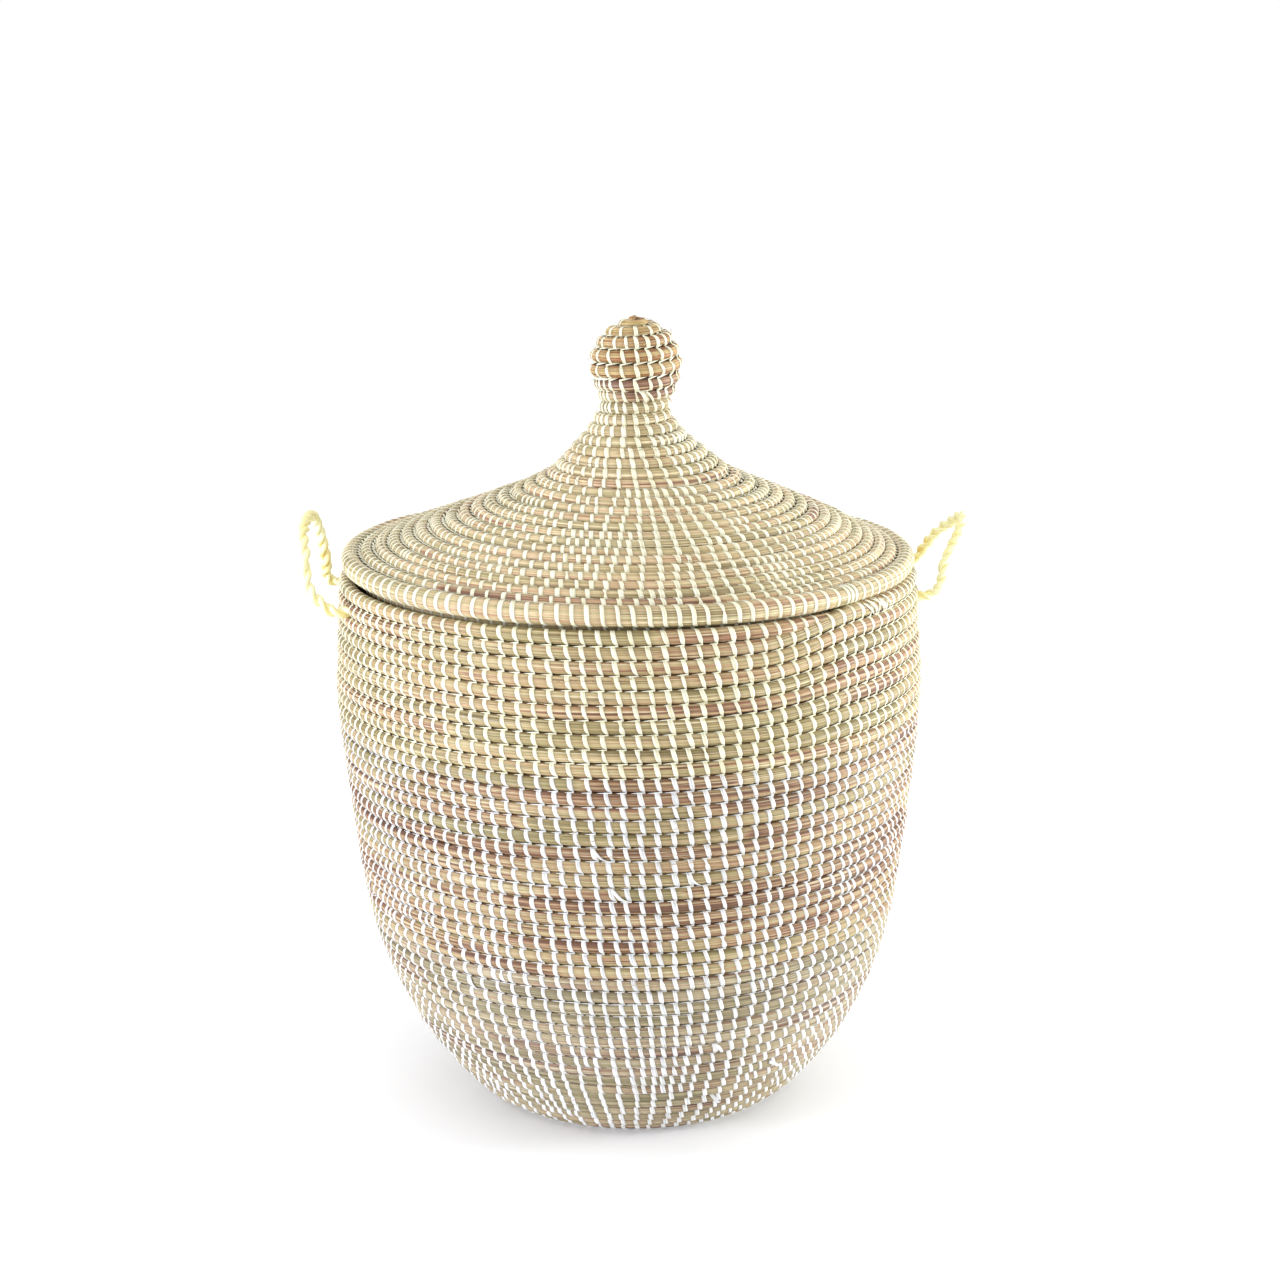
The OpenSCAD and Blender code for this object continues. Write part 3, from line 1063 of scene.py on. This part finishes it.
def make_rope(side_name, loop, side, skew, lift, seed):
    """Two flat strips of yellow plastic twisted together, knotted inside the wall."""
    rng = np.random.default_rng(seed)
    name = "handle_" + side_name
    pivot = next(joint["pos_m"] for joint in frame["joints"] if joint["child"] == name)
    s, path = rope_path(loop, side, abs(pivot[0]), pivot[2], skew, lift)
    path = path + 0.5 * MM * wander(s, 16 * MM, rng, 3)
    tangent = np.gradient(path, axis=0)
    tangent /= np.linalg.norm(tangent, axis=1)[:, None]
    first = np.cross(tangent, [0, 0.35, 1])
    first /= np.linalg.norm(first, axis=1)[:, None]
    second = np.cross(tangent, first)
    turn = TURN * (s / ROPE_TWIST + 0.25 * wander(s, 25 * MM, rng))
    around = np.arange(ROPE_SIDES) * TURN / ROPE_SIDES
    plies = []
    for ply in (0, math.pi):
        middle_x = PLY_OFFSET * np.cos(turn + ply)[:, None]
        middle_y = PLY_OFFSET * np.sin(turn + ply)[:, None]
        thick = ROPE_PLY_R * (1 + 0.14 * wander(s, 7 * MM, rng))[:, None]
        creases = 0.22 * MM * wander(s, 9 * MM, rng, ROPE_SIDES)
        size = thick + creases
        x = middle_x + size * np.cos(around + turn[:, None] + ply)
        y = middle_y + size * np.sin(around + turn[:, None] + ply)
        plies.append(path[:, None] + x[..., None] * first[:, None] + y[..., None] * second[:, None])
    tubes = np.array(plies)
    run = np.broadcast_to(s[None, :, None], tubes.shape[:3])
    edge = np.broadcast_to(np.cos(around)[None, None], tubes.shape[:3])
    other = np.broadcast_to(np.sin(around)[None, None], tubes.shape[:3])
    stalk = np.stack([run, 2 * MM * edge, 2 * MM * other], -1)
    rope = build("rope_" + side_name, tubes, ROPE, {"stalk": stalk})
    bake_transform(rope)
    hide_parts(name + "_ply_a", name + "_ply_b", name + "_front_end", name + "_rear_end")


def rope_material(name):
    made = Shader(name)
    stalk = made.attribute("stalk")
    wear = made.noise(made.scaled(stalk, (22, 120, 120)), 1)
    lines = made.noise(made.scaled(stalk, (60, 900, 900)), 2)
    yellows = [
        (0.35, linear(255, 252, 206)), (0.6, linear(253, 243, 172)), (0.8, linear(234, 204, 116)),
    ]
    colour = made.ramp(wear, yellows)
    colour = made.mix(1.0, colour, made.spread(lines, 0.3, 0.7, 0.86, 1.04), "MULTIPLY")
    made.links.new(colour, made.surface.inputs["Base Color"])
    made.links.new(made.spread(lines, 0.3, 0.7, 0.3, 0.5), made.surface.inputs["Roughness"])
    made.bump(lines, 0.25 * MM)
    return made.material


ROPE = rope_material("yellow_rope")
make_rope("left", LEFT_LOOP, -1, 7.5 * MM, 3.5 * MM, 71)
make_rope("right", RIGHT_LOOP, 1, -3 * MM, 0, 72)

# ---------- loose ends and stray stems ----------


def make_tails(name, course, tails, material, body_name, seed):
    """Loose ends of plastic strip that lie across the rows."""
    rng = np.random.default_rng(seed)
    angles, lengths = np.array(tails).T * [[TURN], [MM]]
    count = len(angles)
    t = np.linspace(0, 1, 12)[None]
    radius = along(course, "r", angles)[:, None]
    angle = angles[:, None] + t * lengths[:, None] / radius
    alpha = np.radians(rng.uniform(40, 75, count))[:, None] * (1 - t) - np.radians(60) * t
    bend = rng.normal(0, 0.35, count)[:, None] * np.sin(3.5 * t)
    alpha = alpha + bend
    off = (0.5 + 1.6 * np.sin(math.pi * t) ** 2 * rng.random(count)[:, None]) * MM
    x = (along(course, "out", angle) + off) * np.cos(alpha)
    y = (along(course, "up", angle) + off) * np.sin(alpha)
    points = place(course, angle, x, y)
    outwards = direction(course, angle, np.cos(alpha), np.sin(alpha))
    widths = rng.uniform(0.45, 0.8, count)[:, None] * (1 - 0.5 * t**3)
    strips = ribbon(points, widths, outwards, STRIP_WIDTH)
    made = build(name, strips, material, {"strip": strip_coordinates(strips, rng)})
    finish_piece(made, body_name)


# Turn and length in mm of each loose end
RIM_TAILS = [(42.14, 14), (42.144, 11), (42.149, 16), (42.155, 12), (42.161, 9)]
WALL_TAILS = [
    (27.98, 11), (26.03, 9), (24.99, 12), (12.05, 10), (9.1, 14), (6.06, 11), (20.8, 12), (16.9, 9),
]
KNOB_TAILS = [(22.01, 6), (22.04, 7)]
make_tails("rim_tails", body, RIM_TAILS, CREAM, "basket", 91)
make_tails("wall_tails", body, WALL_TAILS, WHITE, "basket", 92)
make_tails("knob_tails", lid, KNOB_TAILS, CREAM, "lid", 93)


# Half the thickness of a loose stem at its root, and how much of that it loses to its tip
HAIR_THICK = 0.22 * MM
HAIR_THINS = 0.6


def make_hairs(name, course, count, low, high, body_name, seed, longest):
    """Thin stems that have come loose from the bundle and stand off it a little."""
    rng = np.random.default_rng(seed)
    turns = rng.uniform(low, high, count)
    length = rng.uniform(0.3, 1, count) * longest
    alpha = rng.uniform(-1.1, 1.1, count)
    t = np.linspace(0, 1, 9)[None]
    radius = along(course, "r", turns * TURN)
    way = rng.choice([-1, 1], count)
    angle = turns[:, None] * TURN + way[:, None] * t * (length / radius)[:, None]
    off = rng.uniform(0.3, 4.5, count)[:, None] * MM * t**2
    rise = rng.normal(0, 5, count)[:, None] * MM * t**2
    x = along(course, "out", angle) * np.cos(alpha)[:, None] + off
    y = along(course, "up", angle) * np.sin(alpha)[:, None] + rise
    middle = place(course, angle, x, y)
    forward = np.gradient(middle, axis=1)
    forward /= np.linalg.norm(forward, axis=-1)[..., None]
    side = np.cross(forward, [0.3, 0.2, 0.93])
    side /= np.linalg.norm(side, axis=-1)[..., None]
    up = np.cross(forward, side)
    thick = HAIR_THICK * (1 - HAIR_THINS * t)[..., None]
    corners = [side, up, -side, -up]
    tubes = np.stack([middle + thick * corner for corner in corners], 2)
    shape = tubes.shape[:3]
    stalk = np.broadcast_to(np.stack([angle * radius[:, None]] * 3, -1)[:, :, None], tubes.shape)
    tone = np.broadcast_to(rng.uniform(0.2, 0.8, count)[:, None, None], shape)
    hairs = build(name, tubes, GRASS, {"stalk": stalk, "groove": np.zeros(shape), "tone": tone})
    finish_piece(hairs, body_name)


make_hairs("body_hairs", body, 260, 3, 42.5, "basket", 81, 38 * MM)
make_hairs("lid_hairs", lid, 150, 0.3, 27.5, "lid", 82, 30 * MM)

# ---------- floor and light ----------


FLOOR_HALF = 12
FLOOR_WHITE = 0.9
FLOOR_GLOW = 0.11


def make_floor():
    mesh = bpy.data.meshes.new("floor")
    size = FLOOR_HALF
    mesh.from_pydata(
        [(-size, -size, 0), (size, -size, 0), (size, size, 0), (-size, size, 0)], [], [(0, 1, 2, 3)]
    )
    made = Shader("pale_floor")
    made.surface.inputs["Base Color"].default_value = (FLOOR_WHITE, FLOOR_WHITE, FLOOR_WHITE, 1)
    made.surface.inputs["Roughness"].default_value = 0.9
    made.surface.inputs["Specular IOR Level"].default_value = 0.1
    made.surface.inputs["Emission Color"].default_value = (1, 1, 1, 1)
    made.surface.inputs["Emission Strength"].default_value = FLOOR_GLOW
    mesh.materials.append(made.material)
    floor = bpy.data.objects.new("floor", mesh)
    bpy.context.scene.collection.objects.link(floor)


def make_light(name, place_at, aim_at, size, power, colour=(1, 1, 1)):
    data = bpy.data.lights.new(name, "AREA")
    data.shape = "DISK"
    data.size = size
    data.energy = power
    data.color = colour
    light = bpy.data.objects.new(name, data)
    light.location = place_at
    toward = np.array(aim_at) - np.array(place_at)
    light.rotation_euler = (
        math.acos(-toward[2] / np.linalg.norm(toward)),
        0,
        math.atan2(toward[1], toward[0]) - math.pi / 2,
    )
    bpy.context.scene.collection.objects.link(light)


def make_world():
    world = bpy.data.worlds.new("white_room")
    world.use_nodes = True
    background = world.node_tree.nodes["Background"]
    background.inputs["Color"].default_value = (1, 1, 1, 1)
    background.inputs["Strength"].default_value = 1.0
    bpy.context.scene.world = world
    bpy.context.scene.view_settings.view_transform = "Standard"


make_floor()
make_world()
make_light("left_window", (-2.3, -0.9, 0.45), (0, 0, 0.4), 0.8, 43, (0.96, 1, 1.17))
make_light("skylight", (-0.3, -0.2, 2.8), (0, 0, 0.4), 1.6, 8)
make_light("right_window", (2.3, -0.2, 0.45), (0, 0, 0.4), 0.8, 51, (0.97, 1.01, 1.06))
